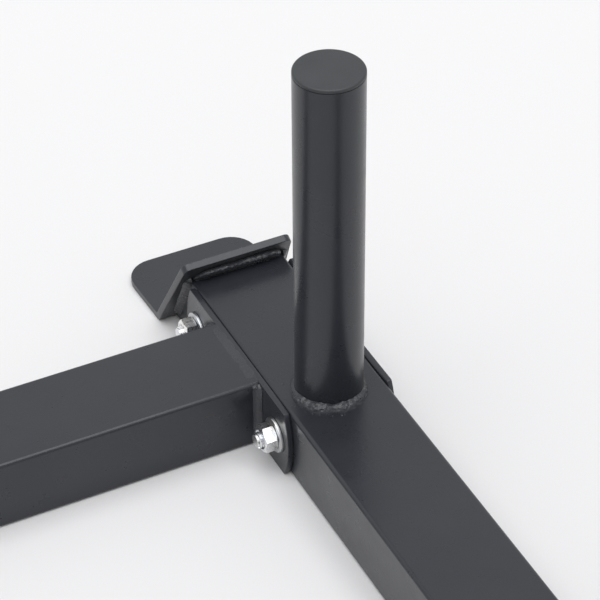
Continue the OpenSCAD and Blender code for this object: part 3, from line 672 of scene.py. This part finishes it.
def flange_welds(along, face, half, reach, seed):
    """The beads beside the crossmember's right end. along runs up the joint, and face across it."""
    inner_x = FOOT_X - TUBE_W / 2 - PLATE_T
    beads = []
    for sign in (-1, 1):
        corner = Vector((inner_x, 0, 0)) + Vector(face) * (sign * half)
        beads.append(straight_bead(corner - Vector(along) * reach, corner + Vector(along) * reach,
                                   (-1, 0, 0), Vector(face) * sign, FLANGE_BEAD, seed + sign))
    return joined(beads)


for side, sign in SIDES.items():
    for end in ("rear", "front"):
        bm = foot_welds(11.0 + 2 * sign + (5 if end == "front" else 0))
        if end == "front":
            bmesh.ops.scale(bm, vec=(1, -1, 1), verts=bm.verts)
            bmesh.ops.reverse_faces(bm, faces=bm.faces)
        finished(f"{side}_{end}_foot_weld", on_side(bm, sign), WELD_COAT_PAINTED_HIGHLIGHT, "frame")

    seam_x = FOOT_X - TUBE_W / 2 - PLATE_T
    reach = TUBE_H / 2 - FLANGE_BEAD_SHORT
    base = flange_welds((0, 0, 1), (0, 1, 0), TUBE_W / 2, reach, 21.0 + 3 * sign)
    bmesh.ops.translate(base, vec=(0, CROSS_Y, TUBE_H / 2), verts=base.verts)
    seam = dressed_seam((seam_x - SEAM_BACK, CROSS_Y - TUBE_W / 2 + TUBE_R, TUBE_H),
                        (seam_x - SEAM_BACK, CROSS_Y + TUBE_W / 2 - TUBE_R, TUBE_H),
                        SEAM_HALF_W, SEAM_H, 6.0 + sign)
    bumps = [droplet((seam_x - DROP_BACK, CROSS_Y + face * (TUBE_W / 2 - DROP_INSET), TUBE_H - DROP_LOW),
                     DROP_SIZE, face + sign) for face in (-1, 1)]
    bm = on_side(joined([base, seam, *bumps]), sign)
    finished(f"base_{side}_flange_weld", bm, WELD_COAT_PAINTED_HIGHLIGHT, "frame")

    top = flange_welds((0, 1, 0), (0, 0, 1), TUBE_W / 2, reach, 31.0 + 3 * sign)
    bmesh.ops.translate(top, vec=(0, UPRIGHT_Y, CROSS_Z), verts=top.verts)
    finished(f"top_{side}_flange_weld", on_side(top, sign), WELD_COAT_PAINTED_HIGHLIGHT, "frame")


# Weld beads of cups and arms

CUP_FACE_Y = UPRIGHT_Y - 0.0338
HOOK_X = 0.023
ARM_FACE_Y = UPRIGHT_Y - 0.0348
ARM_HALF_W = 0.025
ARM_TUBE_TOP = ARM_Z - 0.045
ARM_TUBE_LOW = ARM_Z - 0.105
ARM_WEB_HALF = 0.003
ARM_WEB_LEN = 0.120
ARM_WEB_LOW = ARM_Z - 0.144
ARM_BEAD_LOW = ARM_TUBE_LOW + 0.002
ARM_BEAD_TOP = ARM_TUBE_TOP - 0.003
ARM_WEB_BEAD_LEN = ARM_WEB_LEN - 0.002
CUP_STITCHES = [(-0.068, -0.032), (0.028, 0.052)]
FRONT = (0, -1, 0)


def cup_welds(seed):
    """Stitch welds between the right cup's bracket and its hook plates."""
    beads = []
    for sign in (-1, 1):
        for low, high in CUP_STITCHES:
            x = FOOT_X + sign * HOOK_X
            beads.append(straight_bead((x, CUP_FACE_Y, CUP_Z + low), (x, CUP_FACE_Y, CUP_Z + high),
                                       (sign, 0, 0), FRONT, CUP_BEAD, seed + sign + low))
    return joined(beads)


def arm_welds(seed):
    """The beads that hold the right arm's tube and the web under it on the bracket."""
    beads = []
    for sign in (-1, 1):
        aside = (sign, 0, 0)
        x = FOOT_X + sign * ARM_HALF_W
        beads.append(straight_bead((x, ARM_FACE_Y, ARM_BEAD_LOW), (x, ARM_FACE_Y, ARM_BEAD_TOP), aside,
                                   FRONT, ARM_TUBE_BEAD, seed + sign))
        x = FOOT_X + sign * ARM_WEB_HALF
        corner = (x, ARM_FACE_Y, ARM_TUBE_LOW)
        tip = (x, ARM_FACE_Y - ARM_WEB_BEAD_LEN, ARM_TUBE_LOW)
        beads.append(straight_bead((x, ARM_FACE_Y, ARM_WEB_LOW), corner, aside, FRONT, ARM_WEB_BEAD,
                                   seed + 3 * sign))
        beads.append(straight_bead(corner, tip, aside, (0, 0, -1), ARM_WEB_BEAD, seed + 5 * sign))
    return joined(beads)


for side, sign in SIDES.items():
    for part, weld in (("cup", cup_welds(41.0 + 2 * sign)), ("arm", arm_welds(51.0 + 2 * sign))):
        finished(f"{side}_{part}_weld", on_side(weld, sign), WELD_COAT_PAINTED_HIGHLIGHT, f"{side}_{part}")


# Pull pins and their knobs

PIN_R = 0.010
PIN_SEAT = TUBE_W / 2 + 0.0071
PIN_END = -TUBE_W / 2 - 0.0208
COLLAR_R = 0.015
COLLAR_T = 0.005
NECK_R = 0.006
GROOVE_BACK = 0.0078
KNOB_BASE = TUBE_W / 2 + 0.0161
KNOB_R = 0.015
KNOB_L = 0.022
KNOB_WAIST = 0.009
KNOB_SHOULDER = 0.006
KNOB_RIM = 0.005
FLUTES = 10
FLUTE_DEPTH = 0.0009
FLUTE_LOW = 0.005
FLUTE_LENGTH = 0.014


def turned_pin():
    """A pull pin along z, from its lead with a detent groove to the collar and the neck under the knob."""
    lead = [(0, PIN_END), (PIN_R - 0.0022, PIN_END), (PIN_R - 0.0018, PIN_END + 0.0002),
            (PIN_R, PIN_END + 0.002)]
    middle = PIN_END + GROOVE_BACK
    groove = [(PIN_R, middle - 0.0012), (PIN_R - 0.0009, middle - 0.0006), (PIN_R - 0.0009, middle + 0.0006),
              (PIN_R, middle + 0.0012)]
    collar = [(PIN_R, PIN_SEAT), (COLLAR_R - 0.0006, PIN_SEAT), (COLLAR_R, PIN_SEAT + 0.0006),
              (COLLAR_R, PIN_SEAT + COLLAR_T - 0.0008), (COLLAR_R - 0.0008, PIN_SEAT + COLLAR_T)]
    neck = [(NECK_R, PIN_SEAT + COLLAR_T), (NECK_R, KNOB_BASE), (0, KNOB_BASE)]
    return lathe([*lead, *groove, *collar, *neck], ROUND_STEPS)


def fluted_knob():
    """A turned grip knob from its base at z = 0, with shallow flutes for the fingers."""
    shoulder = [(KNOB_WAIST + KNOB_SHOULDER * math.cos(a), 0.00947 + KNOB_SHOULDER * math.sin(a))
                for a in [math.radians(-39.3 + 39.3 * i / 6) for i in range(7)]]
    wall = [(KNOB_R, 0.0095 + 0.0075 * i / 8) for i in range(1, 8)]
    rim = [(KNOB_R - KNOB_RIM + KNOB_RIM * math.cos(a), KNOB_L - KNOB_RIM + KNOB_RIM * math.sin(a))
           for a in [math.radians(9 * i) for i in range(11)]]
    bm = lathe([(0, 0), (0.0088, 0), (0.0092, 0.0003), *shoulder, *wall, *rim, (0, KNOB_L)], 120)
    for vert in bm.verts:
        reach = math.hypot(vert.co.x, vert.co.y)
        share = (vert.co.z - FLUTE_LOW) / FLUTE_LENGTH
        if reach > KNOB_WAIST and 0 < share < 1:
            turn = math.atan2(vert.co.y, vert.co.x)
            dip = FLUTE_DEPTH * math.sin(math.pi * share) * (0.5 + 0.5 * math.cos(FLUTES * turn)) ** 2
            vert.co.x *= (reach - dip) / reach
            vert.co.y *= (reach - dip) / reach
    return bm


for side, sign in SIDES.items():
    pin = set_at(turned_pin(), (sign * FOOT_X, UPRIGHT_Y, ARM_Z), (sign, 0, 0))
    finished(f"{side}_pull_pin_turned", pin, ZINC, f"{side}_pin", [f"{side}_pull_pin"])
    place = (sign * (FOOT_X + KNOB_BASE), UPRIGHT_Y, ARM_Z)
    finished(f"{side}_pin_knob_fluted", set_at(fluted_knob(), place, (sign, 0, 0)), PLASTIC, f"{side}_pin",
             [f"{side}_pin_knob"])


# The other nodes keep their solids' shape, with rounded edges of these radii

EDGE = {"foot_tube": 0.0004, "foot_plate": 0.0008, "crossmember": 0.0004, "flange": 0.0007,
        "backing_plate": 0.0007, "upright": 0.0005, "gusset": 0.0007, "cap": 0.0006, "bracket": 0.0007,
        "hook_plates": 0.0008, "liner": 0.0008, "screws": 0.0004, "arm_tube": 0.0005, "end_plate": 0.0007}
PLATE_SEAT_EDGE = 0.0021
slots = {part["node"]: part["material_slot"] for part in frame["record"]["subparts"]}
replaced = {"storage_post", "post_cap", "bolts", "nuts", "washers", "pull_pin", "pin_knob"}

for node in sorted(frame["nodes"]):
    if any(node.endswith(ending) for ending in replaced):
        continue
    radius = next(EDGE[ending] for ending in EDGE if node.endswith(ending))
    seat_radius = PLATE_SEAT_EDGE if node.endswith(("_flange", "_backing_plate")) else 0.0
    finished(f"{node}_edged", rounded_copy(node, radius, seat_radius), FINISHES[slots[node]], body_of(node),
             [node])


# Floor, light and camera

FLOOR_COLOUR = (0.80, 0.80, 0.81)
FLOOR_HALF = 15
FLOOR_CLEAR = 0.0002
SURROUNDINGS = (0.88, 0.88, 0.89)
SKY_LEVEL = 0.45
OVERHEAD_LEVEL = 2.45
OVERHEAD_BREADTH = math.radians(70)
OVERHEAD_AIM = (0.12, 0.18, -1)
CAMERA_LENS = 166.3
CAMERA_SENSOR = 36
CAMERA_PLACE = (-0.121597, -0.904296, 1.352598)
CAMERA_HEADING = math.radians(26.007)
CAMERA_TILT = math.radians(38.809)
CAMERA_ROLL = math.radians(0.442)


def floor():
    """A plain pale floor just under the pads."""
    bm = bmesh.new()
    bmesh.ops.create_grid(bm, x_segments=1, y_segments=1, size=FLOOR_HALF)
    bmesh.ops.translate(bm, vec=(0, 0, -FLOOR_CLEAR), verts=bm.verts)
    mesh = bpy.data.meshes.new("floor")
    bm.to_mesh(mesh)
    bm.free()
    material, tree, shader = new_material("pale_floor")
    shader.inputs["Base Color"].default_value = (*FLOOR_COLOUR, 1)
    shader.inputs["Roughness"].default_value = 0.8
    shader.inputs["Specular IOR Level"].default_value = 0.1
    mesh.materials.append(material)
    piece = bpy.data.objects.new("floor", mesh)
    bpy.context.collection.objects.link(piece)


def studio():
    """Even white surroundings and one very broad lamp overhead, which leaves only soft shadows."""
    world = bpy.data.worlds.new("studio")
    world.use_nodes = True
    tree = world.node_tree
    light = tree.nodes["Background"]
    light.inputs["Color"].default_value = (1, 1, 1, 1)
    light.inputs["Strength"].default_value = SKY_LEVEL
    seen = tree.nodes.new("ShaderNodeBackground")
    seen.inputs["Color"].default_value = (*SURROUNDINGS, 1)
    ray = tree.nodes.new("ShaderNodeLightPath")
    shown = ray.outputs["Is Camera Ray"]
    for kind in ("Is Transmission Ray", "Is Glossy Ray"):
        either = tree.nodes.new("ShaderNodeMath")
        either.operation = "MAXIMUM"
        tree.links.new(shown, either.inputs[0])
        tree.links.new(ray.outputs[kind], either.inputs[1])
        shown = either.outputs["Value"]
    mix = tree.nodes.new("ShaderNodeMixShader")
    tree.links.new(shown, mix.inputs["Fac"])
    tree.links.new(light.outputs["Background"], mix.inputs[1])
    tree.links.new(seen.outputs["Background"], mix.inputs[2])
    tree.links.new(mix.outputs["Shader"], tree.nodes["World Output"].inputs["Surface"])
    bpy.context.scene.world = world
    lamp = bpy.data.lights.new("overhead", "SUN")
    lamp.energy = OVERHEAD_LEVEL
    lamp.angle = OVERHEAD_BREADTH
    overhead = bpy.data.objects.new("overhead", lamp)
    overhead.rotation_euler = Vector(OVERHEAD_AIM).to_track_quat("-Z", "Y").to_euler()
    bpy.context.collection.objects.link(overhead)


def photo_camera():
    """The camera at the photograph's place, solved from the edges of the base's corner."""
    data = bpy.data.cameras.new("camera")
    data.lens = CAMERA_LENS
    data.sensor_width = CAMERA_SENSOR
    camera = bpy.data.objects.new("camera", data)
    turn = Matrix.Rotation(-CAMERA_HEADING, 4, "Z") @ Matrix.Rotation(math.pi / 2 - CAMERA_TILT, 4, "X")
    roll = Matrix.Rotation(-CAMERA_ROLL, 4, "Z")
    camera.matrix_world = Matrix.Translation(CAMERA_PLACE) @ turn @ roll
    bpy.context.collection.objects.link(camera)
    bpy.context.scene.camera = camera


floor()
studio()
photo_camera()
bpy.context.scene.view_settings.view_transform = "Standard"
